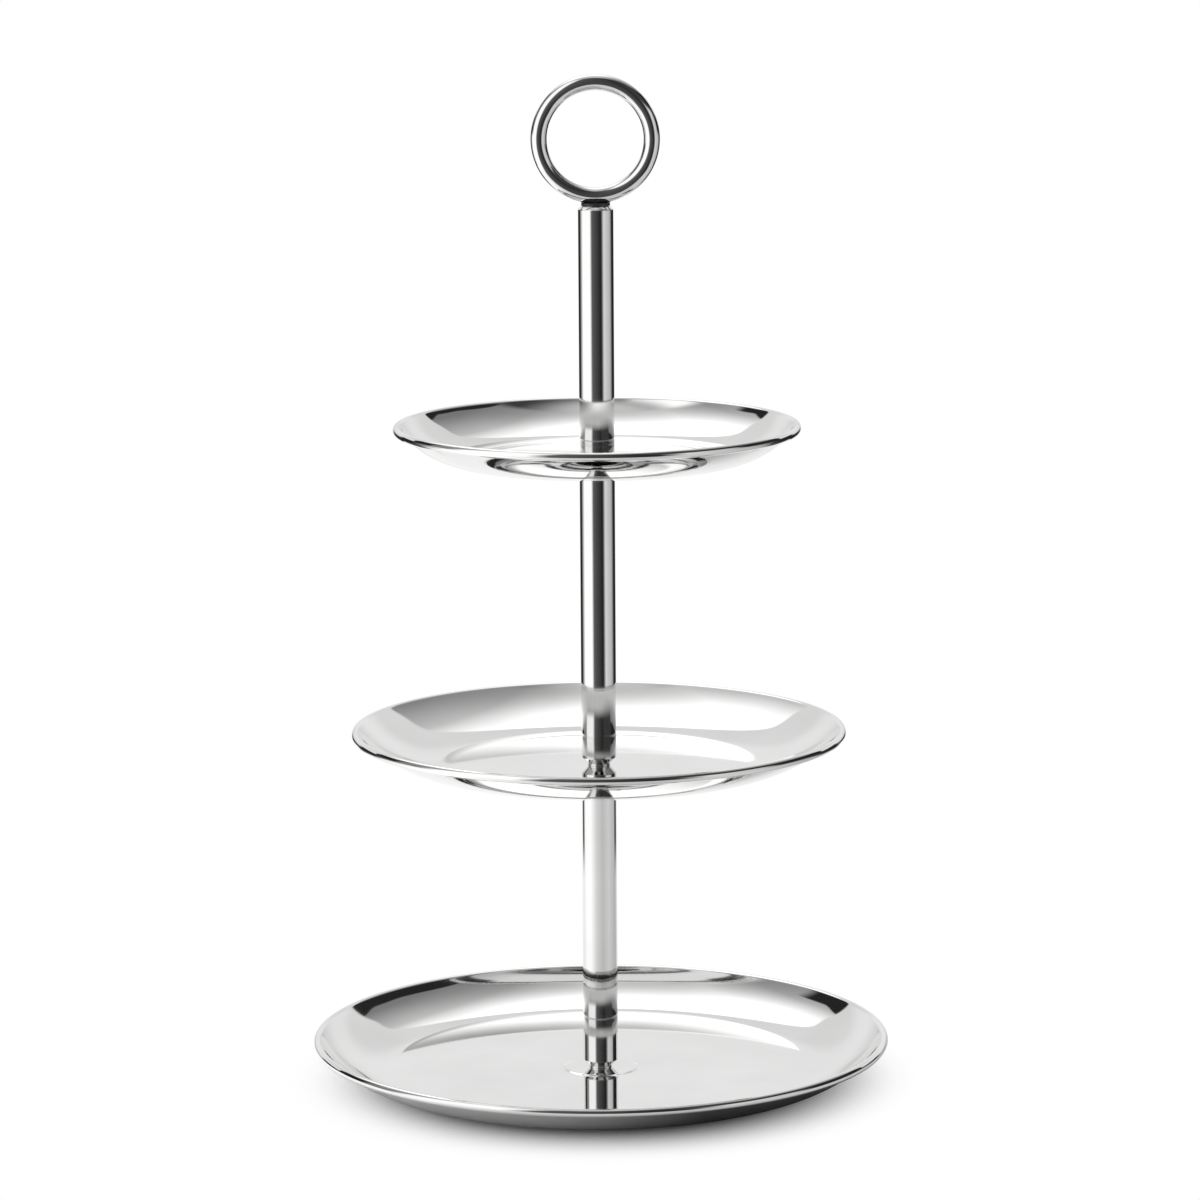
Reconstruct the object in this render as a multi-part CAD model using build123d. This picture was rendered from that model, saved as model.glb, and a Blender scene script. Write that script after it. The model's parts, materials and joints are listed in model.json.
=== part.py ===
from build123d import *

import math
import os

# Three-tier serving stand in polished stainless steel, in millimetres, +Z up.
# The origin is the centre of the footprint, on the surface that the pads stand on.
# Three dished plates sit on a column of three tubes that screw together end to end.

# Plates: sheet thickness, rolled rim, and for each tier the rim, the flat base and the depth
SHEET = 1.0
BEAD_RADIUS = 2.0
BOTTOM_RIM_RADIUS = 132.5
BOTTOM_BASE_RADIUS = 97.0
BOTTOM_DEPTH = 17.3
MIDDLE_RIM_RADIUS = 113.0
MIDDLE_BASE_RADIUS = 68.0
MIDDLE_DEPTH = 18.3
TOP_RIM_RADIUS = 92.5
TOP_BASE_RADIUS = 58.0
TOP_DEPTH = 17.1

# Boss pressed up in the middle of the bottom plate, which hides the base screw's head
BOSS_RADIUS = 17.4
BOSS_SLOPE = 1.2
BOSS_RISE = 0.6

# Pads under the bottom plate
PAD_RADIUS = 5.0
PAD_HEIGHT = 3.0
PAD_CIRCLE_RADIUS = 70.0
PAD_COUNT = 4

# Posts: tubes with a turned plug in each end
POST_RADIUS = 8.0
POST_WALL = 1.0
LOWER_POST_LENGTH = 140.7
MIDDLE_POST_LENGTH = 139.5
UPPER_POST_LENGTH = 114.0
POST_EDGE = 0.5
PLUG_LENGTH = 14.0
FOOT_NOSE_RADIUS = 5.2
FOOT_NOSE_HEIGHT = 2.8
CAP_NOSE_RADIUS = 6.6
CAP_NOSE_HEIGHT = 1.4

# Threads that hold the column together: outer radius, and the length screwed into a post
THREAD_RADIUS = 3.0
THREAD_ENGAGEMENT = 8.0
STUD_HOLD = 12.0
TIP_BEVEL = 0.6

# Washers and the screw under the bottom plate
SEAT_WASHER_RADIUS = 5.3
SEAT_WASHER_THICKNESS = 0.8
BASE_WASHER_RADIUS = 7.5
BASE_WASHER_THICKNESS = 0.4
SCREW_HEAD_RADIUS = 6.0
SCREW_HEAD_HEIGHT = 1.4
SOCKET_RADIUS = 2.3
SOCKET_DEPTH = 0.9

# Ring handle and the collar that it sits in
RING_RADIUS = 25.4
RING_WIRE_RADIUS = 3.65
HANDLE_WASHER_RADIUS = 6.2
HANDLE_WASHER_THICKNESS = 0.3
COLLAR_RADIUS = 6.5
COLLAR_HEIGHT = 1.2
COLLAR_FLOOR = 0.7
TENON_RADIUS = 2.0
TENON_DEPTH = 3.5

# Clearances: running where pieces turn or screw, fixed where they are pressed or brazed
RUNNING_CLEARANCE = 0.06
FIXED_CLEARANCE = 0.02

# Heights, from the surface up through the column
BOTTOM_PLATE_Z = PAD_HEIGHT
LOWER_SEAT_Z = BOTTOM_PLATE_Z + SHEET + BOSS_RISE
LOWER_POST_Z = LOWER_SEAT_Z + SEAT_WASHER_THICKNESS
MIDDLE_PLATE_Z = LOWER_POST_Z + LOWER_POST_LENGTH
MIDDLE_SEAT_Z = MIDDLE_PLATE_Z + SHEET
MIDDLE_POST_Z = MIDDLE_SEAT_Z + SEAT_WASHER_THICKNESS
TOP_PLATE_Z = MIDDLE_POST_Z + MIDDLE_POST_LENGTH
UPPER_SEAT_Z = TOP_PLATE_Z + SHEET
UPPER_POST_Z = UPPER_SEAT_Z + SEAT_WASHER_THICKNESS
HANDLE_SEAT_Z = UPPER_POST_Z + UPPER_POST_LENGTH
COLLAR_Z = HANDLE_SEAT_Z + HANDLE_WASHER_THICKNESS
RING_BOTTOM_Z = COLLAR_Z + COLLAR_FLOOR
RING_CENTRE_Z = RING_BOTTOM_Z + RING_WIRE_RADIUS + RING_RADIUS

# Radii that mating pieces share
BORE_RADIUS = THREAD_RADIUS + RUNNING_CLEARANCE
TUBE_BORE_RADIUS = POST_RADIUS - POST_WALL
PLUG_RADIUS = TUBE_BORE_RADIUS - FIXED_CLEARANCE

# Middle of a plate's base, as (radius, rise) steps inwards to the bore
PLAIN = [(BORE_RADIUS, 0)]
BOSSED = [(BOSS_RADIUS, 0), (BOSS_RADIUS - BOSS_SLOPE, BOSS_RISE), (BORE_RADIUS, BOSS_RISE)]


def turned(outline):
    """Solid of revolution about Z from a closed outline of (radius, height) points."""
    profile = make_face(Polyline(outline, close=True))
    return revolve(Plane.XZ * profile, Axis.Z)


def washer(outer_radius, inner_radius, bottom_z, height):
    """Plain ring with square edges."""
    top_z = bottom_z + height
    return turned([
        (inner_radius, bottom_z),
        (outer_radius, bottom_z),
        (outer_radius, top_z),
        (inner_radius, top_z),
    ])


def plate(rim_radius, base_radius, depth, underside_z, centre):
    """Dished sheet: flat base, one arc up to the rim, and an edge rolled over outwards into a round bead.

    The arc's inner face runs smoothly on to the bead. centre holds the (radius, rise) steps of the base
    from its flat in to its bore.
    """
    wall_width = rim_radius - BEAD_RADIUS - base_radius
    wall_height = depth - BEAD_RADIUS - SHEET
    arc_radius = (wall_width**2 + wall_height**2 - BEAD_RADIUS**2) / (2 * (wall_height + BEAD_RADIUS))
    arc_angle = math.degrees(math.atan2(wall_width, arc_radius - wall_height))
    arc_centre = (base_radius, underside_z + SHEET + arc_radius)

    under_wall = CenterArc(arc_centre, arc_radius + SHEET, -90, arc_angle)
    inner_wall = CenterArc(arc_centre, arc_radius, -90, arc_angle)
    upper_base = [(radius, underside_z + SHEET + rise) for radius, rise in centre]
    lower_base = [(radius, underside_z + rise) for radius, rise in reversed(centre)]
    base = Polyline(inner_wall @ 0, *upper_base, *lower_base, under_wall @ 0)
    edge = Line(under_wall @ 1, inner_wall @ 1)
    bead = Pos(rim_radius - BEAD_RADIUS, underside_z + depth - BEAD_RADIUS) * Circle(BEAD_RADIUS)
    profile = make_face([under_wall, edge, inner_wall, base]) + bead
    return revolve(Plane.XZ * profile, Axis.Z)


def foot_pads():
    """Pads spread evenly under the flat of the bottom plate."""
    pad = Cylinder(PAD_RADIUS, PAD_HEIGHT, align=(Align.CENTER, Align.CENTER, Align.MIN))
    places = PolarLocations(PAD_CIRCLE_RADIUS, PAD_COUNT, start_angle=180 / PAD_COUNT)
    return Compound(children=[place * pad for place in places])


def tier_tube(bottom_z, top_z):
    """Thin round tube under a plate, with its outer edge broken where they meet."""
    return turned([
        (TUBE_BORE_RADIUS, bottom_z),
        (POST_RADIUS, bottom_z),
        (POST_RADIUS, top_z - POST_EDGE),
        (POST_RADIUS - POST_EDGE, top_z),
        (TUBE_BORE_RADIUS, top_z),
    ])


def handle_tube(bottom_z, top_z):
    """Thin round tube with square ends, between a foot and the bevelled cap."""
    return washer(POST_RADIUS, TUBE_BORE_RADIUS, bottom_z, top_z - bottom_z)


def post_foot(bottom_z):
    """Bored plug in the lower end of a tube, coned down to the seat washer."""
    shoulder_z = bottom_z + FOOT_NOSE_HEIGHT
    return turned([
        (BORE_RADIUS, bottom_z),
        (FOOT_NOSE_RADIUS, bottom_z),
        (POST_RADIUS, shoulder_z),
        (PLUG_RADIUS, shoulder_z),
        (PLUG_RADIUS, shoulder_z + PLUG_LENGTH),
        (BORE_RADIUS, shoulder_z + PLUG_LENGTH),
    ])


def flush_cap(top_z):
    """Plug in the upper end of a tube, level with its edge, that holds a stud."""
    stud_bore = THREAD_RADIUS + FIXED_CLEARANCE
    return washer(PLUG_RADIUS, stud_bore, top_z - PLUG_LENGTH, PLUG_LENGTH)


def bevelled_cap(top_z):
    """Bored plug in the top of the upper tube, with a bevelled shoulder under the ring."""
    shoulder_z = top_z - CAP_NOSE_HEIGHT
    return turned([
        (BORE_RADIUS, top_z),
        (CAP_NOSE_RADIUS, top_z),
        (POST_RADIUS, shoulder_z),
        (PLUG_RADIUS, shoulder_z),
        (PLUG_RADIUS, shoulder_z - PLUG_LENGTH),
        (BORE_RADIUS, shoulder_z - PLUG_LENGTH),
    ])


def threaded_rod(bottom_z, top_z):
    """Rod of the thread's outer radius with bevelled tips."""
    return turned([
        (0, bottom_z),
        (THREAD_RADIUS - TIP_BEVEL, bottom_z),
        (THREAD_RADIUS, bottom_z + TIP_BEVEL),
        (THREAD_RADIUS, top_z - TIP_BEVEL),
        (THREAD_RADIUS - TIP_BEVEL, top_z),
        (0, top_z),
    ])


def joint_stud(plate_z):
    """Stud fixed in the cap below a plate, standing up through it into the next post's foot."""
    top_z = plate_z + SHEET + SEAT_WASHER_THICKNESS + THREAD_ENGAGEMENT
    return threaded_rod(plate_z - STUD_HOLD, top_z)


def base_screw():
    """Low-headed screw from under the bottom plate, with a hexagon socket in its head."""
    head_z = BOTTOM_PLATE_Z + BOSS_RISE - BASE_WASHER_THICKNESS - SCREW_HEAD_HEIGHT
    shank = threaded_rod(head_z, LOWER_POST_Z + THREAD_ENGAGEMENT)
    head = washer(SCREW_HEAD_RADIUS, 0, head_z, SCREW_HEAD_HEIGHT)
    socket = extrude(Pos(0, 0, head_z) * RegularPolygon(SOCKET_RADIUS, 6), SOCKET_DEPTH)
    return head + shank - socket


def base_washer():
    """Washer between the screw head and the underside of the boss."""
    bottom_z = BOTTOM_PLATE_Z + BOSS_RISE - BASE_WASHER_THICKNESS
    return washer(BASE_WASHER_RADIUS, BORE_RADIUS, bottom_z, BASE_WASHER_THICKNESS)


def seat_washer(bottom_z):
    """Washer that keeps a post's nose off the polished plate."""
    return washer(SEAT_WASHER_RADIUS, BORE_RADIUS, bottom_z, SEAT_WASHER_THICKNESS)


def ring_wire(clearance):
    """Round-wire ring that stands upright across X, grown by clearance."""
    return Pos(0, 0, RING_CENTRE_Z) * Rot(90, 0, 0) * Torus(RING_RADIUS, RING_WIRE_RADIUS + clearance)


def tenon_hole(bottom_z, top_z):
    """Round hole for the tenon on the handle stud."""
    return washer(TENON_RADIUS + FIXED_CLEARANCE, 0, bottom_z, top_z - bottom_z)


def ring_handle():
    """Ring with a blind hole underneath for the tenon."""
    return ring_wire(0) - tenon_hole(COLLAR_Z, RING_BOTTOM_Z + TENON_DEPTH)


def handle_collar():
    """Round collar with a saddle that follows the wire, bored for the tenon."""
    block = washer(COLLAR_RADIUS, 0, COLLAR_Z, COLLAR_HEIGHT)
    return block - ring_wire(FIXED_CLEARANCE) - tenon_hole(COLLAR_Z, RING_CENTRE_Z)


def handle_stud():
    """Threaded stud under the collar, with a plain tenon that goes up into the ring."""
    rod = threaded_rod(HANDLE_SEAT_Z - THREAD_ENGAGEMENT, COLLAR_Z)
    tenon = washer(TENON_RADIUS, 0, COLLAR_Z - TENON_DEPTH, RING_BOTTOM_Z + 2 * TENON_DEPTH - COLLAR_Z)
    return rod + tenon


PIECES = {
    "foot_pads": foot_pads(),
    "bottom_plate": plate(BOTTOM_RIM_RADIUS, BOTTOM_BASE_RADIUS, BOTTOM_DEPTH, BOTTOM_PLATE_Z, BOSSED),
    "base_screw": base_screw(),
    "base_washer": base_washer(),
    "lower_seat_washer": seat_washer(LOWER_SEAT_Z),
    "lower_post": tier_tube(LOWER_POST_Z + FOOT_NOSE_HEIGHT, MIDDLE_PLATE_Z),
    "lower_post_foot": post_foot(LOWER_POST_Z),
    "lower_post_cap": flush_cap(MIDDLE_PLATE_Z),
    "lower_stud": joint_stud(MIDDLE_PLATE_Z),
    "middle_plate": plate(MIDDLE_RIM_RADIUS, MIDDLE_BASE_RADIUS, MIDDLE_DEPTH, MIDDLE_PLATE_Z, PLAIN),
    "middle_seat_washer": seat_washer(MIDDLE_SEAT_Z),
    "middle_post": tier_tube(MIDDLE_POST_Z + FOOT_NOSE_HEIGHT, TOP_PLATE_Z),
    "middle_post_foot": post_foot(MIDDLE_POST_Z),
    "middle_post_cap": flush_cap(TOP_PLATE_Z),
    "middle_stud": joint_stud(TOP_PLATE_Z),
    "top_plate": plate(TOP_RIM_RADIUS, TOP_BASE_RADIUS, TOP_DEPTH, TOP_PLATE_Z, PLAIN),
    "upper_seat_washer": seat_washer(UPPER_SEAT_Z),
    "upper_post": handle_tube(UPPER_POST_Z + FOOT_NOSE_HEIGHT, HANDLE_SEAT_Z - CAP_NOSE_HEIGHT),
    "upper_post_foot": post_foot(UPPER_POST_Z),
    "upper_post_cap": bevelled_cap(HANDLE_SEAT_Z),
    "handle_washer": washer(HANDLE_WASHER_RADIUS, BORE_RADIUS, HANDLE_SEAT_Z, HANDLE_WASHER_THICKNESS),
    "handle_collar": handle_collar(),
    "handle_stud": handle_stud(),
    "ring_handle": ring_handle(),
}

os.makedirs("parts", exist_ok=True)
for name, shape in PIECES.items():
    export_step(shape, f"parts/{name}.step")
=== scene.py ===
"""Looks of the three-tier serving stand: polished plates, posts and ring over the packed solids."""

import json
import math

import bmesh
import bpy
from bpy.props import FloatProperty, FloatVectorProperty, IntProperty, PointerProperty
from bpy.types import Operator, Panel, PropertyGroup
from mathutils import Matrix, Vector


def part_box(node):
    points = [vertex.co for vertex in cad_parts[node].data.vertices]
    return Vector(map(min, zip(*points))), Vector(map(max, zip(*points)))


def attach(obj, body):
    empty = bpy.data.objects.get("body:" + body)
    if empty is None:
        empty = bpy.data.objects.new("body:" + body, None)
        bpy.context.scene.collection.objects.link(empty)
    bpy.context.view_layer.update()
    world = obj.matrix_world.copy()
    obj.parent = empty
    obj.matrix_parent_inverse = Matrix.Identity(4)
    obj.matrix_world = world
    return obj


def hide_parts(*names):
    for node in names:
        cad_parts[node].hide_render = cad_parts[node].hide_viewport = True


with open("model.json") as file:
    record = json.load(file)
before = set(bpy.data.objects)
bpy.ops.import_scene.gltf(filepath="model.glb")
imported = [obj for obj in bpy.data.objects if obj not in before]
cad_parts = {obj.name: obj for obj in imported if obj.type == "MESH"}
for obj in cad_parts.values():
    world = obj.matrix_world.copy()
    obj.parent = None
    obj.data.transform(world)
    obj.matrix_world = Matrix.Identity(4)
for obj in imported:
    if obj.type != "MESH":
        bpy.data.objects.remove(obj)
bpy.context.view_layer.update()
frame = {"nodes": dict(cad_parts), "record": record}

bl_info = {
    "name": "Serving Stand Looks",
    "version": (1, 0, 0),
    "blender": (4, 5, 0),
    "location": "View3D > Sidebar > Serving Stand",
    "description": "Builds the polished surfaces and the studio of a three-tier serving stand",
    "category": "Object",
}

UP = (0, 0, 1)
# Distances in metres under which points of a profile and of a mesh are one, and under which they line up
PROFILE_MERGE = 0.000004
MERGE = 0.000002
LINED_UP = 0.000005
# Angles at which an edge between two faces is rounded, and at which it is shaded sharp
ROUNDED_FROM = math.radians(35)
SHARP_FROM = math.radians(40)
# The thread over one pitch, as (share of its depth, share of the pitch)
THREAD_PROFILE = ((0.0, 0.0), (0.0, 0.1), (1.0, 0.45), (1.0, 0.65), (0.0, 1.0))
# Pitches by which a thread starts below its rod, and turns that it has to spare, for flat ends to cut off
THREAD_BELOW = 1.5
THREAD_SPARE = 2


def low(node):
    """Height of a solid's lowest point."""
    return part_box(node)[0].z


def high(node):
    """Height of a solid's highest point."""
    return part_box(node)[1].z


def reach(node):
    """Largest distance of a solid from the column's axis, along X."""
    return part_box(node)[1].x


def length(name, description, default):
    """A size in metres."""
    return FloatProperty(
        name=name, description=description, default=default, min=0.0, unit="LENGTH", precision=5)


def count(name, description, default):
    """A number of facets."""
    return IntProperty(name=name, description=description, default=default, min=8)


def tint(name, description, default):
    """A linear colour."""
    return FloatVectorProperty(
        name=name, description=description, default=default, size=3, min=0.0, max=1.0, subtype="COLOR")


class StandPlateSizes(PropertyGroup):
    """Sizes of the pressed plates that their boxes don't give."""

    sheet: length("Sheet", "Thickness of the pressed sheet", 0.001)
    bead: length("Bead radius", "Radius of the rolled rim", 0.002)
    bottom_base: length("Bottom base", "Radius of the bottom plate's flat", 0.097)
    middle_base: length("Middle base", "Radius of the middle plate's flat", 0.068)
    top_base: length("Top base", "Radius of the top plate's flat", 0.058)
    boss_radius: length("Boss radius", "Foot of the boss in the bottom plate", 0.0174)
    boss_slope: length("Boss slope", "Width of the boss's sloping side", 0.0012)
    boss_rise: length("Boss rise", "Height of the boss", 0.0006)
    boss_blend: length("Boss blend", "Rounding of the boss's two bends", 0.0004)
    wall_steps: count("Wall steps", "Facets up a plate's curved wall", 64)
    bead_steps: count("Bead steps", "Facets round a plate's rim", 40)


class StandColumnSizes(PropertyGroup):
    """Sizes of the posts, threads and ring that their boxes don't give."""

    bore: length("Bore", "Radius of the holes that threads pass through", 0.00306)
    tube_wall: length("Tube wall", "Thickness of the tubes", 0.001)
    tube_edge: length("Tube edge", "Broken edge at the top of a tube, under a plate", 0.0005)
    foot_nose: length("Foot nose", "Radius at the small end of a post's cone", 0.0052)
    cap_nose: length("Cap nose", "Radius at the small end of the bevel under the ring", 0.0066)
    thread_pitch: length("Thread pitch", "Rise of the threads in one turn", 0.001)
    thread_depth: length("Thread depth", "Depth of the threads", 0.00055)
    tenon: length("Tenon", "Radius of the plain pin in the ring", 0.002)
    screw_head: length("Screw head", "Height of the base screw's head", 0.0014)
    socket: length("Socket", "Radius to the corners of the hexagon socket", 0.0023)
    socket_depth: length("Socket depth", "Depth of the hexagon socket", 0.0009)
    pad: length("Pad", "Radius of a foot pad", 0.005)
    edge: length("Edge", "Rounding of turned edges", 0.00015)
    turn_steps: count("Turn steps", "Facets round a turned piece", 256)
    wire_steps: count("Wire steps", "Facets round the ring's wire", 64)
    thread_steps: count("Thread steps", "Facets in one turn of thread", 40)


class StandFinishes(PropertyGroup):
    """Colours of the finishes."""

    polish_low: tint("Polish, low", "Darker tone of the polished steel", (0.80, 0.80, 0.795))
    polish_high: tint("Polish, high", "Lighter tone of the polished steel", (0.86, 0.86, 0.855))
    machined_low: tint("Machined, low", "Darker tone of the machined steel", (0.50, 0.50, 0.49))
    machined_high: tint("Machined, high", "Lighter tone of the machined steel", (0.66, 0.66, 0.64))
    collar_low: tint("Collar, low", "Darker tone of the moulded collar", (0.012, 0.012, 0.013))
    collar_high: tint("Collar, high", "Lighter tone of the moulded collar", (0.022, 0.022, 0.024))
    pad_low: tint("Pads, low", "Darker tone of the pads", (0.21, 0.21, 0.21))
    pad_high: tint("Pads, high", "Lighter tone of the pads", (0.29, 0.29, 0.29))


class StandStudio(PropertyGroup):
    """Camera and floor."""

    camera_place: FloatVectorProperty(
        name="Camera", description="Place of the camera", default=(0.0009, -2.324, 0.6311),
        subtype="XYZ", unit="LENGTH")
    camera_tilt: FloatProperty(
        name="Tilt", description="Downward tilt of the camera",
        default=math.radians(9.95), unit="ROTATION")
    camera_roll: FloatProperty(
        name="Roll", description="Turn of the camera about its own line of sight",
        default=math.radians(-0.35), unit="ROTATION")
    camera_lens: FloatProperty(
        name="Lens", description="Focal length in millimetres", default=155.43, min=1.0)
    floor_radius: length("Floor radius", "Radius of the pale table top", 0.85)
    shadow_near: length("Shadow, near", "Distance at which the table top starts to fade to white", 0.09)
    shadow_far: length("Shadow, far", "Distance at which the table top is white", 0.15)
    mirrored_shift: length("Mirrored shift", "How much further out polished surfaces see it fade", 0.04)
    shade_near: length("Shade, near", "Distance at which the shade under the plate starts to end", 0.13)
    shade_far: length("Shade, far", "Distance at which the shade under the plate has ended", 0.15)
    flag_near: length("Flags, near", "Distance at which the dark flags start to show in it", 0.4)
    flag_far: length("Flags, far", "Distance at which the dark flags show fully in it", 0.52)
    floor_tone: FloatProperty(
        name="Floor tone", description="Reflectance of the table top", default=0.97, max=1.0)


class Wire:
    """One output of a shader node, with the sums that the finishes write on it."""

    def __init__(self, graph, socket):
        self.graph = graph
        self.socket = socket

    def out(self, name):
        """Another output of the same node."""
        return Wire(self.graph, self.socket.node.outputs[name])

    def to(self, other, share):
        """This value where a share is 0, and another one where it is 1."""
        return self * (1 - share) + other * share

    def __add__(self, other):
        return self.graph.calculate("ADD", self, other)

    def __radd__(self, other):
        return self.graph.calculate("ADD", other, self)

    def __sub__(self, other):
        return self.graph.calculate("SUBTRACT", self, other)

    def __rsub__(self, other):
        return self.graph.calculate("SUBTRACT", other, self)

    def __mul__(self, other):
        return self.graph.calculate("MULTIPLY", self, other)

    def __rmul__(self, other):
        return self.graph.calculate("MULTIPLY", other, self)

    def __truediv__(self, other):
        return self.graph.calculate("DIVIDE", self, other)


class Graph:
    """A node tree that starts empty."""

    def __init__(self, owner):
        owner.use_nodes = True
        self.tree = owner.node_tree
        self.tree.nodes.clear()

    def add(self, kind, inputs=(), output=0, stops=(), **settings):
        """Adds a node with its settings, ramp stops and inputs by place or name. Gives one output."""
        node = self.tree.nodes.new(kind)
        for name, value in settings.items():
            setattr(node, name, value)
        if stops:
            elements = node.color_ramp.elements
            while len(elements) < len(stops):
                elements.new(1.0)
            for element, (position, level) in zip(elements, stops):
                element.position = position
                element.color = (level, level, level, 1.0)
        for key, value in inputs.items() if isinstance(inputs, dict) else enumerate(inputs):
            if isinstance(value, Wire):
                self.tree.links.new(value.socket, node.inputs[key])
            else:
                node.inputs[key].default_value = value
        return Wire(self, node.outputs[output] if node.outputs else None)

    def calculate(self, operation, *values):
        """A calculation on numbers and other outputs."""
        return self.add("ShaderNodeMath", values, operation=operation)

    def place(self):
        """Object coordinates."""
        return self.add("ShaderNodeTexCoord", output="Object")

    def noise(self, scale, detail):
        """Soft random values between 0 and 1, mostly near the middle."""
        return self.add(
            "ShaderNodeTexNoise", {"Vector": self.place(), "Scale": scale, "Detail": detail}, "Fac")

    def stretch(self, noise, start=0.3, end=0.7):
        """The middle of a noise stretched over 0 to 1."""
        return self.add("ShaderNodeMapRange", {"Value": noise, "From Min": start, "From Max": end})

    def rise(self, value, start, end):
        """A smooth step from 0 to 1."""
        return self.add(
            "ShaderNodeMapRange", {"Value": value, "From Min": start, "From Max": end},
            interpolation_type="SMOOTHSTEP")

    def pattern(self, angle, levels):
        """Levels over a whole turn, as (degrees, level) from -180 to 180."""
        stops = [(degrees / 360 + 0.5, level) for degrees, level in levels]
        return self.add("ShaderNodeValToRGB", [angle / 360 + 0.5], stops=stops)

    def azimuth(self, across):
        """Degrees to the right of the camera, from X and Y."""
        return self.calculate("ARCTAN2", across, 0.0 - across.out("Y")) * math.degrees(1)

    def span(self, factor, least, most):
        """A number between two numbers."""
        return least + (most - least) * factor

    def tones(self, factor, first, second):
        """A colour between two colours, at the places that the mix node has for colours."""
        factor_at, first_at, second_at, result_at = 0, 6, 7, 2
        inputs = {factor_at: factor, first_at: (*first, 1.0), second_at: (*second, 1.0)}
        return self.add("ShaderNodeMix", inputs, result_at, data_type="RGBA")

    def bump(self, height, depth):
        """A normal raised by a height, for a depth in metres."""
        return self.add("ShaderNodeBump", {"Strength": 1.0, "Distance": depth, "Height": height})

    def principled(self, **inputs):
        """Ends the tree in a principled surface."""
        named = {name.replace("_", " ").title(): value for name, value in inputs.items()}
        shader = self.add("ShaderNodeBsdfPrincipled", named)
        self.add("ShaderNodeOutputMaterial", [shader])


def polished_steel(graph, tones):
    """Mirror polish with faint haze and buffing marks."""
    cloud = graph.stretch(graph.noise(scale=25.0, detail=3.0))
    grain = graph.noise(scale=1800.0, detail=2.0)
    graph.principled(
        base_color=graph.tones(cloud, tones.polish_low, tones.polish_high),
        metallic=1.0,
        roughness=graph.span(cloud, least=0.03, most=0.06),
        normal=graph.bump(grain, depth=0.0000004))


def machined_steel(graph, tones):
    """Plain turned steel."""
    cloud = graph.stretch(graph.noise(scale=300.0, detail=2.0))
    marks = graph.add(
        "ShaderNodeTexWave", {"Vector": graph.place(), "Scale": 900.0, "Distortion": 1.5}, "Fac",
        bands_direction="Z")
    graph.principled(
        base_color=graph.tones(cloud, tones.machined_low, tones.machined_high),
        metallic=1.0,
        roughness=graph.span(cloud, least=0.24, most=0.36),
        normal=graph.bump(marks, depth=0.000004))


def near_black_collar(graph, tones):
    """Near black and not metal, with a fine spark-eroded grain."""
    grain = graph.noise(scale=2600.0, detail=3.0)
    graph.principled(
        base_color=graph.tones(graph.stretch(grain), tones.collar_low, tones.collar_high),
        metallic=0.0,
        roughness=graph.span(grain, least=0.38, most=0.52),
        normal=graph.bump(grain, depth=0.00001))


def silicone(graph, tones):
    """Grey silicone of the pads."""
    grain = graph.noise(scale=900.0, detail=3.0)
    graph.principled(
        base_color=graph.tones(graph.stretch(grain), tones.pad_low, tones.pad_high),
        metallic=0.0,
        roughness=graph.span(grain, least=0.55, most=0.75),
        normal=graph.bump(grain, depth=0.00002))


FINISHES = {
    "polished_steel": polished_steel,
    "plain_steel": machined_steel,
    "dark_collar": near_black_collar,
    "pad_rubber": silicone,
}


def finish_of(slot):
    """The material of a record slot, made the first time that it is asked for."""
    if slot not in FINISHES:
        raise RuntimeError(f"no finish is written for the slot {slot}")
    name = f"{slot}_finish"
    if name not in bpy.data.materials:
        FINISHES[slot](Graph(bpy.data.materials.new(name)), bpy.context.scene.stand_finishes)
    return bpy.data.materials[name]


def node_row(node):
    """The body and the material slot that the record gives a solid."""
    record = frame["record"]
    body = next(name for name, members in record["behaviour"]["bodies"].items() if node in members)
    slot = next(part["material_slot"] for part in record["subparts"] if part["node"] == node)
    return body, slot


def chain(bm, *points):
    """A closed profile through (radius, height) points, in the XZ plane."""
    verts = [bm.verts.new((radius, 0.0, height)) for radius, height in points]
    for first, second in zip(verts, verts[1:] + verts[:1]):
        bm.edges.new((first, second))


def arc(bm, start, centre, angle, steps):
    """Sweeps an open profile anticlockwise about a centre from a (radius, height) start. Gives its ends."""
    vert = bm.verts.new((start[0], 0.0, start[1]))
    swept = bmesh.ops.spin(
        bm, geom=[vert], cent=(centre[0], 0.0, centre[1]), axis=(0, -1, 0), angle=angle, steps=steps)
    return vert, next(item for item in swept["geom_last"] if isinstance(item, bmesh.types.BMVert))


def turn(bm, steps):
    """Turns the whole profile about the column's axis."""
    bmesh.ops.remove_doubles(bm, verts=bm.verts, dist=PROFILE_MERGE)
    bmesh.ops.spin(
        bm, geom=bm.verts[:] + bm.edges[:], cent=(0, 0, 0), axis=UP, angle=math.tau, steps=steps,
        use_merge=True)
    clean(bm)


def clean(bm):
    """Closes seams and poles, and turns the faces outwards."""
    bmesh.ops.remove_doubles(bm, verts=bm.verts, dist=MERGE)
    bmesh.ops.recalc_face_normals(bm, faces=bm.faces)


def soften(bm, edges, offset, segments):
    """Rounds edges."""
    bmesh.ops.bevel(
        bm, geom=edges, offset=offset, offset_type="OFFSET", segments=segments, profile=0.5,
        affect="EDGES", material=-1)


def corners(bm):
    """Edges that turn outwards sharply."""
    return [
        edge for edge in bm.edges
        if len(edge.link_faces) == 2 and edge.calc_face_angle_signed() > ROUNDED_FROM
    ]


def hoop(bm, radius):
    """Edges that run round the axis at a radius."""
    return [
        edge for edge in bm.edges
        if all(abs(math.hypot(vert.co.x, vert.co.y) - radius) < LINED_UP for vert in edge.verts)
        and abs(edge.verts[0].co.z - edge.verts[1].co.z) < LINED_UP
    ]


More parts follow.
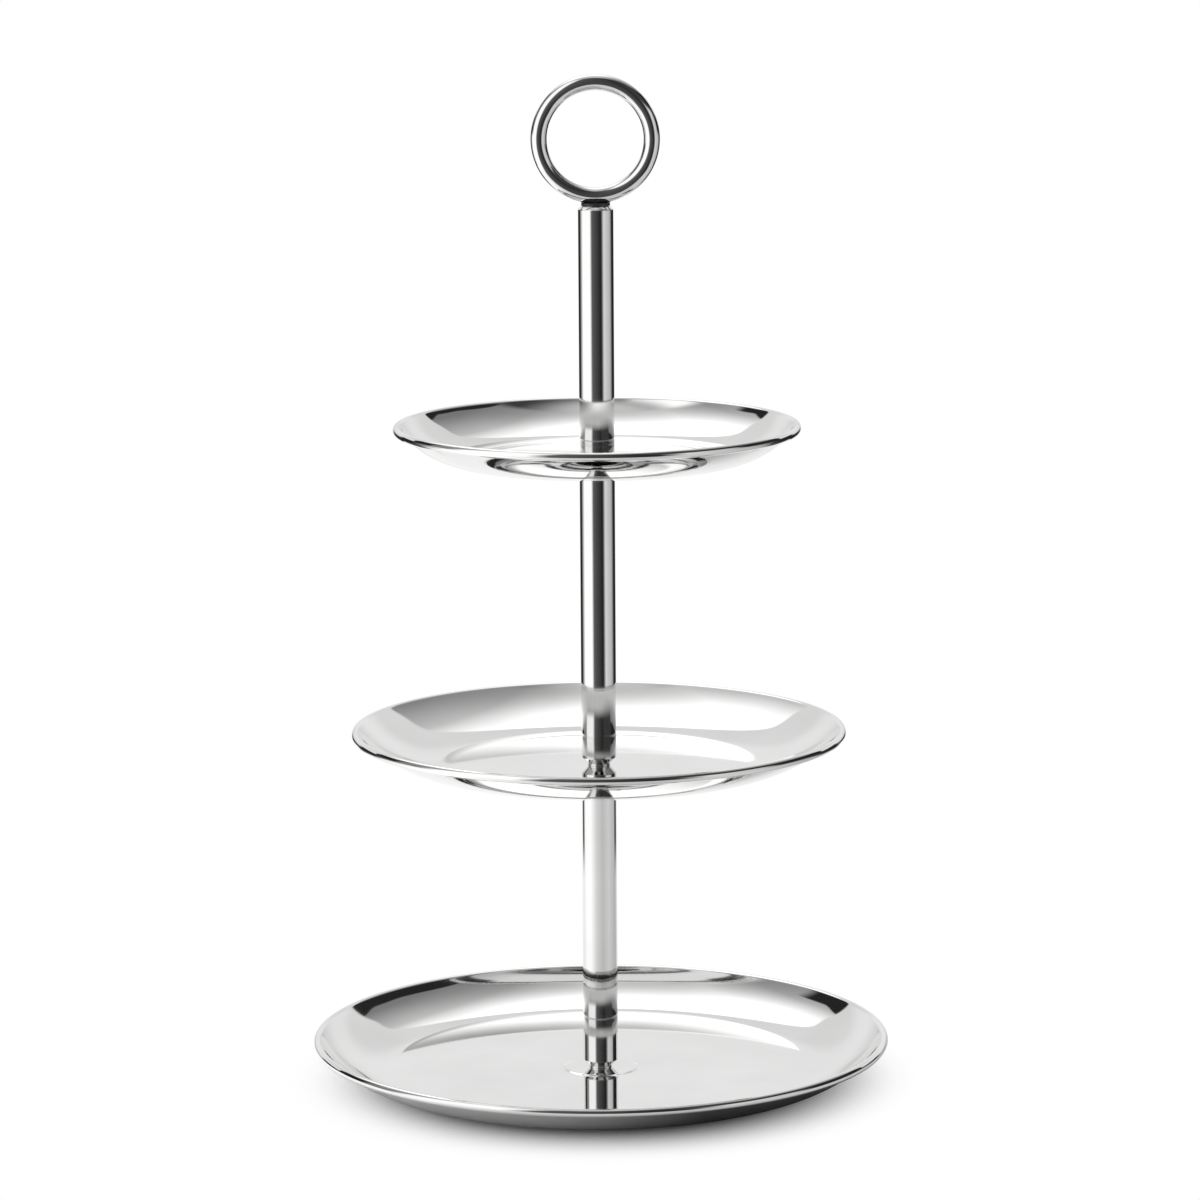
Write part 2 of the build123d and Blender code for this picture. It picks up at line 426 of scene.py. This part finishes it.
def piece(prefix, node, bm):
    """Makes the finished object of a solid, which it rides with and stands for."""
    name = f"{prefix}_{node}"
    mesh = bpy.data.meshes.new(name)
    bm.to_mesh(mesh)
    bm.free()
    mesh.shade_smooth()
    mesh.set_sharp_from_angle(angle=SHARP_FROM)
    shape = bpy.data.objects.new(name, mesh)
    bpy.context.scene.collection.objects.link(shape)
    weighting = shape.modifiers.new("Face weighting", "WEIGHTED_NORMAL")
    weighting.keep_sharp = True
    body, slot = node_row(node)
    mesh.materials.append(finish_of(slot))
    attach(shape, body)
    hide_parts(node)


def turned_piece(prefix, node, *points):
    """A turned piece with its outer corners rounded."""
    column = bpy.context.scene.stand_column
    bm = bmesh.new()
    chain(bm, *points)
    turn(bm, column.turn_steps)
    soften(bm, corners(bm), column.edge, segments=3)
    piece(prefix, node, bm)


def turned_ring(prefix, node, bore):
    """A plain washer or bush that fills its solid's box."""
    radius = reach(node)
    turned_piece(
        prefix, node, (bore, low(node)), (radius, low(node)), (radius, high(node)), (bore, high(node)))


def dished_plate(node, base, steps_in):
    """A pressed plate: flat base, one arc up to the rim, and an edge rolled outwards into a round bead.

    steps_in holds the (radius, rise) steps of the base from its flat in to its bore.
    """
    sizes = bpy.context.scene.stand_plates
    under, rim = low(node), reach(node)
    wall = rim - sizes.bead - base, high(node) - under - sizes.bead - sizes.sheet
    inside = (wall[0] ** 2 + wall[1] ** 2 - sizes.bead ** 2) / (2 * (wall[1] + sizes.bead))
    sweep = math.atan2(wall[0], inside - wall[1])
    outside, to_bead = inside + sizes.sheet, inside + sizes.bead
    overlap = math.acos((outside ** 2 + to_bead ** 2 - sizes.bead ** 2) / (2 * outside * to_bead))
    centre = Vector((base, under + sizes.sheet + inside))
    bead_centre = centre + to_bead * Vector((math.sin(sweep), -math.cos(sweep)))

    bm = bmesh.new()
    inner, inner_end = arc(bm, (base, under + sizes.sheet), centre, sweep, sizes.wall_steps)
    outer, outer_end = arc(bm, (base, under), centre, sweep - overlap, sizes.wall_steps)
    start, end = (
        math.atan2(vert.co.z - bead_centre.y, vert.co.x - bead_centre.x)
        for vert in (inner_end, outer_end))
    roll = -((start - end) % math.tau)
    arc(bm, (inner_end.co.x, inner_end.co.z), bead_centre, roll, sizes.bead_steps)
    upper = [(across, under + sizes.sheet + rise) for across, rise in steps_in]
    lower = [(across, under + rise) for across, rise in reversed(steps_in)]
    path = [inner, *(bm.verts.new((across, 0.0, height)) for across, height in upper + lower), outer]
    for first, second in zip(path, path[1:]):
        bm.edges.new((first, second))
    turn(bm, bpy.context.scene.stand_column.turn_steps)
    return bm


def threaded_rod(bm, bottom, top, radius):
    """Adds a rod with a cut thread and flat ends."""
    column = bpy.context.scene.stand_column
    pitch, root = column.thread_pitch, radius - column.thread_depth
    turns = math.ceil((top - bottom) / pitch) + THREAD_SPARE
    start = bottom - THREAD_BELOW * pitch
    verts = [
        bm.verts.new((root + out * column.thread_depth, 0.0, start + up * pitch))
        for out, up in THREAD_PROFILE
    ]
    edges = [bm.edges.new(pair) for pair in zip(verts, verts[1:])]
    steps = turns * column.thread_steps
    bmesh.ops.spin(
        bm, geom=verts + edges, cent=(0, 0, 0), axis=UP, dvec=(0, 0, pitch / column.thread_steps),
        angle=turns * math.tau, steps=steps)
    bmesh.ops.remove_doubles(bm, verts=bm.verts, dist=MERGE)
    for height, outwards in ((bottom, (0, 0, -1)), (top, UP)):
        cut = bmesh.ops.bisect_plane(
            bm, geom=bm.verts[:] + bm.edges[:] + bm.faces[:], plane_co=(0, 0, height), plane_no=outwards,
            clear_outer=True)
        rim = [item for item in cut["geom_cut"] if isinstance(item, bmesh.types.BMEdge)]
        bmesh.ops.holes_fill(bm, edges=rim, sides=0)
    clean(bm)


class STAND_OT_plates(Operator):
    """Build the three pressed plates"""

    bl_idname = "stand.plates"
    bl_label = "Plates"

    def execute(self, context):
        sizes, column = context.scene.stand_plates, context.scene.stand_column
        boss_top = sizes.boss_radius - sizes.boss_slope
        bm = dished_plate(
            "bottom_plate", sizes.bottom_base,
            [(sizes.boss_radius, 0.0), (boss_top, sizes.boss_rise), (column.bore, sizes.boss_rise)])
        soften(bm, hoop(bm, sizes.boss_radius) + hoop(bm, boss_top), sizes.boss_blend, segments=6)
        piece("polished", "bottom_plate", bm)
        for node, base in (("middle_plate", sizes.middle_base), ("top_plate", sizes.top_base)):
            piece("polished", node, dished_plate(node, base, [(column.bore, 0.0)]))
        return {"FINISHED"}


class STAND_OT_posts(Operator):
    """Build the three posts, each a tube with a plug in each end"""

    bl_idname = "stand.posts"
    bl_label = "Posts"

    def execute(self, context):
        column = context.scene.stand_column
        plug = reach("lower_post_cap")
        clearance = reach("upper_post") - column.tube_wall - plug
        for tier in ("lower", "middle", "upper"):
            tube, foot = f"{tier}_post", f"{tier}_post_foot"
            outside, inside = reach(tube), reach(tube) - column.tube_wall
            if tier == "upper":
                ending = [(outside, high(tube))]
            else:
                ending = [
                    (outside, high(tube) - column.tube_edge), (outside - column.tube_edge, high(tube))]
            turned_piece(
                "polished", tube,
                (inside, low(tube)), (outside, low(tube)), *ending, (inside, high(tube)))
            turned_piece(
                "polished", foot,
                (column.bore, low(foot)), (column.foot_nose, low(foot)), (outside, low(tube)),
                (plug, low(tube)), (plug, high(foot)), (column.bore, high(foot)))
        for tier in ("lower", "middle"):
            turned_ring("machined", f"{tier}_post_cap", reach(f"{tier}_stud") + clearance)
        cap, tube = "upper_post_cap", "upper_post"
        turned_piece(
            "polished", cap,
            (column.bore, high(cap)), (column.cap_nose, high(cap)), (reach(tube), high(tube)),
            (plug, high(tube)), (plug, low(cap)), (column.bore, low(cap)))
        return {"FINISHED"}


class STAND_OT_washers(Operator):
    """Build the seat washers, the washer under the ring and the one under the bottom plate"""

    bl_idname = "stand.washers"
    bl_label = "Washers"

    def execute(self, context):
        bore = context.scene.stand_column.bore
        for node in ("lower_seat_washer", "middle_seat_washer", "upper_seat_washer", "handle_washer"):
            turned_ring("polished", node, bore)
        turned_ring("machined", "base_washer", bore)
        return {"FINISHED"}


class STAND_OT_fasteners(Operator):
    """Build the threaded studs and the screw under the bottom plate"""

    bl_idname = "stand.fasteners"
    bl_label = "Studs and screw"

    def execute(self, context):
        column = context.scene.stand_column
        thread = reach("lower_stud")
        for node in ("lower_stud", "middle_stud"):
            bm = bmesh.new()
            threaded_rod(bm, low(node), high(node), thread)
            piece("threaded", node, bm)

        bm = bmesh.new()
        threaded_rod(bm, low("handle_stud"), low("handle_collar"), thread)
        self.tenon(bm, column.tenon, low("handle_collar"), high("handle_stud"))
        piece("threaded", "handle_stud", bm)

        bm = bmesh.new()
        self.head(bm, low("base_screw"), reach("base_screw"), column)
        shank = bmesh.new()
        threaded_rod(shank, low("base_screw") + column.screw_head, high("base_screw"), thread)
        joined = bpy.data.meshes.new("shank")
        shank.to_mesh(joined)
        shank.free()
        bm.from_mesh(joined)
        bpy.data.meshes.remove(joined)
        piece("threaded", "base_screw", bm)
        return {"FINISHED"}

    @staticmethod
    def tenon(bm, radius, bottom, top):
        """Adds the plain pin above the handle's thread."""
        bmesh.ops.create_cone(
            bm, cap_ends=True, segments=48, radius1=radius, radius2=radius, depth=top - bottom,
            matrix=Matrix.Translation((0, 0, (bottom + top) / 2)))

    @staticmethod
    def head(bm, bottom, radius, column):
        """Adds a low round head with a hexagon socket, seen from below."""
        level = Matrix.Translation((0, 0, bottom))
        outer = bmesh.ops.create_circle(bm, segments=96, radius=radius, matrix=level)["verts"]
        inner = bmesh.ops.create_circle(bm, segments=6, radius=column.socket, matrix=level)["verts"]
        loops = [list({edge for vert in verts for edge in vert.link_edges}) for verts in (outer, inner)]
        bmesh.ops.triangle_fill(bm, edges=loops[0] + loops[1], use_beauty=True, use_dissolve=False)
        for loop, rise in zip(loops, (column.screw_head, column.socket_depth)):
            raised = bmesh.ops.extrude_edge_only(bm, edges=loop)["geom"]
            verts = [item for item in raised if isinstance(item, bmesh.types.BMVert)]
            edges = [item for item in raised if isinstance(item, bmesh.types.BMEdge)]
            bmesh.ops.translate(bm, vec=(0, 0, rise), verts=verts)
            bmesh.ops.holes_fill(bm, edges=edges, sides=0)
        clean(bm)
        soften(bm, hoop(bm, radius), column.edge, segments=3)


class STAND_OT_handle(Operator):
    """Build the carrying ring and finish the collar that it sits in"""

    bl_idname = "stand.handle"
    bl_label = "Ring and collar"

    def execute(self, context):
        column = context.scene.stand_column
        lowest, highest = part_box("ring_handle")
        wire = highest.y
        centre = (lowest + highest) / 2
        bm = bmesh.new()
        section = bmesh.ops.create_circle(
            bm, segments=column.wire_steps, radius=wire,
            matrix=Matrix.Translation((highest.x - wire, 0, centre.z)))
        edges = list({edge for vert in section["verts"] for edge in vert.link_edges})
        bmesh.ops.spin(
            bm, geom=section["verts"] + edges, cent=(0, 0, centre.z), axis=(0, 1, 0), angle=math.tau,
            steps=column.turn_steps, use_merge=True)
        clean(bm)
        piece("polished", "ring_handle", bm)

        collar = frame["nodes"]["handle_collar"]
        for place in collar.material_slots:
            place.material = finish_of("dark_collar")
        return {"FINISHED"}


class STAND_OT_pads(Operator):
    """Build the pads under the bottom plate"""

    bl_idname = "stand.pads"
    bl_label = "Foot pads"

    def execute(self, context):
        column = context.scene.stand_column
        lowest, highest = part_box("foot_pads")
        offset, height = highest.x - column.pad, highest.z - lowest.z
        bm = bmesh.new()
        for across in (-offset, offset):
            for along in (-offset, offset):
                bmesh.ops.create_cone(
                    bm, cap_ends=True, segments=64, radius1=column.pad, radius2=column.pad, depth=height,
                    matrix=Matrix.Translation((across, along, lowest.z + height / 2)))
        soften(bm, corners(bm), height / 4, segments=4)
        clean(bm)
        piece("moulded", "foot_pads", bm)
        return {"FINISHED"}


# What polished surfaces show, as (degrees to the right of the camera, level): the room at eye level,
# how much the dark flags beside the backdrop hide, and the table top in the open, with painted light
# brighter on the left and darker to the right, and under the bottom plate's rim, with painted shade
AROUND = [
    (-180, 0.9), (-168, 0.88), (-162, 0.1), (-158, 0.02), (-126, 0.02), (-114, 0.35), (-104, 0.75),
    (-95, 1.2), (-40, 1.2), (-34, 0.65), (-27, 0.12), (-8, 0.075), (12, 0.045), (27, 0.02), (36, 0.03),
    (44, 0.35), (52, 0.78), (70, 0.66), (95, 0.55), (108, 0.35), (118, 0.06), (126, 0.02), (158, 0.02),
    (162, 0.1), (168, 0.88), (180, 0.9),
]
FLAGS = [
    (-180, 0), (-146, 0), (-141, 1), (-120, 1), (-112, 0),
    (112, 0), (120, 1), (141, 1), (146, 0), (180, 0),
]
PAINTED_TABLE_LIGHT = [
    (-180, 1.0), (-120, 1.0), (-95, 1.2), (-60, 1.2), (-20, 0.75), (20, 0.58), (60, 0.7), (120, 0.5),
    (150, 0.9), (180, 1.0),
]
PAINTED_SHADE_UNDER_RIM = [(-180, 0.9), (-90, 0.9), (-15, 0.6), (25, 0.12), (60, 0.12), (90, 0.4), (180, 0.9)]
# The glow of the panel over the back of the stand, as (degrees to the right of straight up, level)
PANEL = [(-180, 0.0), (-60, 0.05), (-40, 0.3), (-22, 1.4), (3, 1.4), (20, 0.38), (40, 0.0), (180, 0.0)]

# The parts of the studio. A pair is where a part starts and where it is whole: _TURN in degrees round
# from the camera, _RISE in degrees above the horizon, _BACK in degrees behind straight up and _ASIDE in
# degrees to either side of it. PANEL_RIGHT and PANEL_LEFT are the panel's ends, PANEL_BLUR is how soft
# they are, and a taper, neck or corner is how far an edge draws in, all in degrees. A level, glow, fall
# or haze is a brightness.
CURTAIN_TURN = (18, 43.2)
CURTAIN_RISE = (20, 28)
CURTAIN_LEVEL = 0.05
CEILING_RISE = (60, 76)
CEILING_LEVEL = 0.14
PANEL_BACK = (-2, 38)
PANEL_FRONT_SHARE = 0.3
PANEL_LEVEL = 0.2
PANEL_RIGHT = 44
PANEL_LEFT = 43
PANEL_BLUR = (-0.7, 0.7)
PANEL_LEFT_BACK = (20, 28)
PANEL_TAPER = 5
PANEL_TAPER_BACK = (36, 48)
PANEL_NECK = 8
PANEL_NECK_BACK = (-4, 26)
BACKDROP_BACK = (52.3, 53.7)
BACKDROP_CORNER = 6
BACKDROP_CORNER_ASIDE = (16, 34)
BACKDROP_LEVEL = 0.7
BACKDROP_GLOW = 0.16
BACKDROP_GLOW_RISE = (2, 14)
BACKDROP_FALL = 0.1
BACKDROP_FALL_RISE = (17, 24)
FLAG_RISE = (8, 15)
REAR_TURN = (80, 95)
REAR_RISE = (-3, 4)
REAR_TOP_RISE = (60, 80)
HAZE = 0.02
# How much painted flag shade darkens the table top, and how much the white dome falls off to the right
PAINTED_FLAG_SHADE = 0.9
DOME_FALL = 0.35


class STAND_OT_studio(Operator):
    """Build the floor, the soft light and the camera"""

    bl_idname = "stand.studio"
    bl_label = "Studio"

    def execute(self, context):
        studio = context.scene.stand_studio
        self.light(context)
        self.floor(context, studio)
        self.camera(context, studio)
        context.scene.view_settings.view_transform = "Standard"
        return {"FINISHED"}

    @staticmethod
    def light(context):
        """A white dome, with the flags and panels of the studio shown to polished surfaces."""
        world = bpy.data.worlds.new("studio_light")
        context.scene.world = world
        graph = Graph(world)
        across = graph.add(
            "ShaderNodeSeparateXYZ", [graph.add("ShaderNodeTexCoord", output="Generated")], "X")
        azimuth = graph.azimuth(across)
        height = across.out("Z")
        from_top = graph.calculate("ARCCOSINE", height) * math.degrees(1)
        elevation = 90 - from_top
        spread = from_top / graph.calculate("SQRT", 1 - height * height)
        right, back = across * spread, across.out("Y") * spread

        curtain = graph.rise(azimuth, *CURTAIN_TURN) * graph.rise(elevation, *CURTAIN_RISE)
        around = graph.pattern(azimuth, AROUND).to(CURTAIN_LEVEL, curtain)
        around = around.to(CEILING_LEVEL, graph.rise(elevation, *CEILING_RISE))

        strength = graph.span(graph.rise(back, *PANEL_BACK), least=PANEL_FRONT_SHARE, most=1.0)
        panel = PANEL_LEVEL + graph.pattern(right, PANEL) * strength
        taper = PANEL_TAPER * graph.rise(back, *PANEL_TAPER_BACK)
        neck = PANEL_NECK * (1 - graph.rise(back, *PANEL_NECK_BACK))
        past_right = graph.rise(right - PANEL_RIGHT + taper + neck, *PANEL_BLUR)
        past_left = graph.rise(taper - right - PANEL_LEFT, *PANEL_BLUR)
        gap = past_right + past_left * graph.rise(back, *PANEL_LEFT_BACK)

        corner = BACKDROP_CORNER * graph.rise(graph.calculate("ABSOLUTE", right), *BACKDROP_CORNER_ASIDE)
        backdrop = (
            BACKDROP_LEVEL
            + BACKDROP_GLOW * graph.rise(elevation, *BACKDROP_GLOW_RISE)
            - BACKDROP_FALL * graph.rise(elevation, *BACKDROP_FALL_RISE))
        flag = graph.pattern(azimuth, FLAGS) * (1 - graph.rise(elevation, *FLAG_RISE))
        rear = HAZE + (panel * (1 - gap)).to(
            backdrop * (1 - flag), graph.rise(back + corner, *BACKDROP_BACK))
        in_front = 1 - graph.rise(graph.calculate("ABSOLUTE", azimuth), *REAR_TURN)
        low_in_front = in_front * (1 - graph.rise(elevation, *REAR_TOP_RISE))
        studio = around.to(rear, graph.rise(elevation, *REAR_RISE) * (1 - low_in_front))

        mirrored = graph.add("ShaderNodeLightPath", output="Is Glossy Ray")
        dome = 1 - DOME_FALL * across * (1 - mirrored.out("Is Camera Ray"))
        light = {"Color": dome.to(studio, mirrored), "Strength": 1.0}
        graph.add("ShaderNodeOutputWorld", [graph.add("ShaderNodeBackground", light)])

    @staticmethod
    def floor(context, studio):
        """A pale round table top that fades into the white of the room."""
        bm = bmesh.new()
        bmesh.ops.create_circle(bm, cap_ends=True, segments=128, radius=studio.floor_radius)
        mesh = bpy.data.meshes.new("table_top")
        bm.to_mesh(mesh)
        bm.free()
        table = bpy.data.objects.new("table_top", mesh)
        context.scene.collection.objects.link(table)

        material = bpy.data.materials.new("table_top")
        mesh.materials.append(material)
        graph = Graph(material)
        place = graph.place()
        across = graph.add("ShaderNodeSeparateXYZ", [place], "X")
        distance = graph.add("ShaderNodeVectorMath", [place], "Value", operation="LENGTH")
        azimuth = graph.azimuth(across)
        # Painted shade: polished surfaces see the table top darker under the bottom plate's rim, out to
        # shade_far
        past_painted_shade = graph.rise(distance, studio.shade_near, studio.shade_far)
        # Painted shade of the dark flags: far behind the stand, polished surfaces see the table top darker
        flag = graph.pattern(azimuth, FLAGS) * graph.rise(distance, studio.flag_near, studio.flag_far)
        # Painted light: polished surfaces see the table top in the open brighter on the left, darker to the
        # right
        painted_open_light = graph.pattern(azimuth, PAINTED_TABLE_LIGHT) * (1 - PAINTED_FLAG_SHADE * flag)
        level = graph.pattern(azimuth, PAINTED_SHADE_UNDER_RIM).to(painted_open_light, past_painted_shade)
        mirrored = graph.add("ShaderNodeLightPath", output="Is Glossy Ray")
        # The painted light and shade reach only glossy rays, through the matt colour and the glow below
        tone = 1 - mirrored * (1 - level)
        matt = graph.add(
            "ShaderNodeBsdfPrincipled",
            {"Base Color": studio.floor_tone * tone, "Roughness": 1.0, "Specular IOR Level": 0.0})
        # A glow that is plain white to the camera and carries the painted light and shade to polished
        # surfaces
        white = graph.add("ShaderNodeEmission", {"Color": tone, "Strength": 1.0})
        fade = graph.rise(
            distance - studio.mirrored_shift * mirrored, studio.shadow_near, studio.shadow_far)
        graph.add("ShaderNodeOutputMaterial", [graph.add("ShaderNodeMixShader", [fade, matt, white])])

    @staticmethod
    def camera(context, studio):
        """A long lens that looks a little down on the stand."""
        camera = bpy.data.objects.new("camera", bpy.data.cameras.new("camera"))
        context.scene.collection.objects.link(camera)
        camera.data.sensor_width = 36.0
        camera.data.lens = studio.camera_lens
        camera.data.clip_end = 50.0
        camera.matrix_world = (
            Matrix.Translation(studio.camera_place)
            @ Matrix.Rotation(math.pi / 2 - studio.camera_tilt, 4, "X")
            @ Matrix.Rotation(studio.camera_roll, 4, "Z"))
        context.scene.camera = camera


class STAND_PT_sidebar(Panel):
    """Lists the pieces, their sizes and their finishes"""

    bl_idname = "STAND_PT_sidebar"
    bl_label = "Serving Stand"
    bl_space_type = "VIEW_3D"
    bl_region_type = "UI"
    bl_category = "Serving Stand"

    def draw(self, context):
        layout = self.layout
        for operator in OPERATORS:
            layout.operator(operator.bl_idname)
        for holder, group in GROUPS.items():
            box = layout.box()
            box.label(text=group.__doc__)
            for name in group.__annotations__:
                box.prop(getattr(context.scene, holder), name)


GROUPS = {
    "stand_plates": StandPlateSizes,
    "stand_column": StandColumnSizes,
    "stand_finishes": StandFinishes,
    "stand_studio": StandStudio,
}
OPERATORS = (
    STAND_OT_plates, STAND_OT_posts, STAND_OT_washers, STAND_OT_fasteners, STAND_OT_handle,
    STAND_OT_pads, STAND_OT_studio,
)


def register():
    for entry in (*GROUPS.values(), *OPERATORS, STAND_PT_sidebar):
        bpy.utils.register_class(entry)
    for holder, group in GROUPS.items():
        setattr(bpy.types.Scene, holder, PointerProperty(type=group))


def unregister():
    for holder in GROUPS:
        delattr(bpy.types.Scene, holder)
    for entry in reversed((*GROUPS.values(), *OPERATORS, STAND_PT_sidebar)):
        bpy.utils.unregister_class(entry)


def main():
    """Builds every piece and the studio."""
    register()
    bpy.ops.stand.plates()
    bpy.ops.stand.posts()
    bpy.ops.stand.washers()
    bpy.ops.stand.fasteners()
    bpy.ops.stand.handle()
    bpy.ops.stand.pads()
    bpy.ops.stand.studio()


if __name__ == "__main__":
    main()
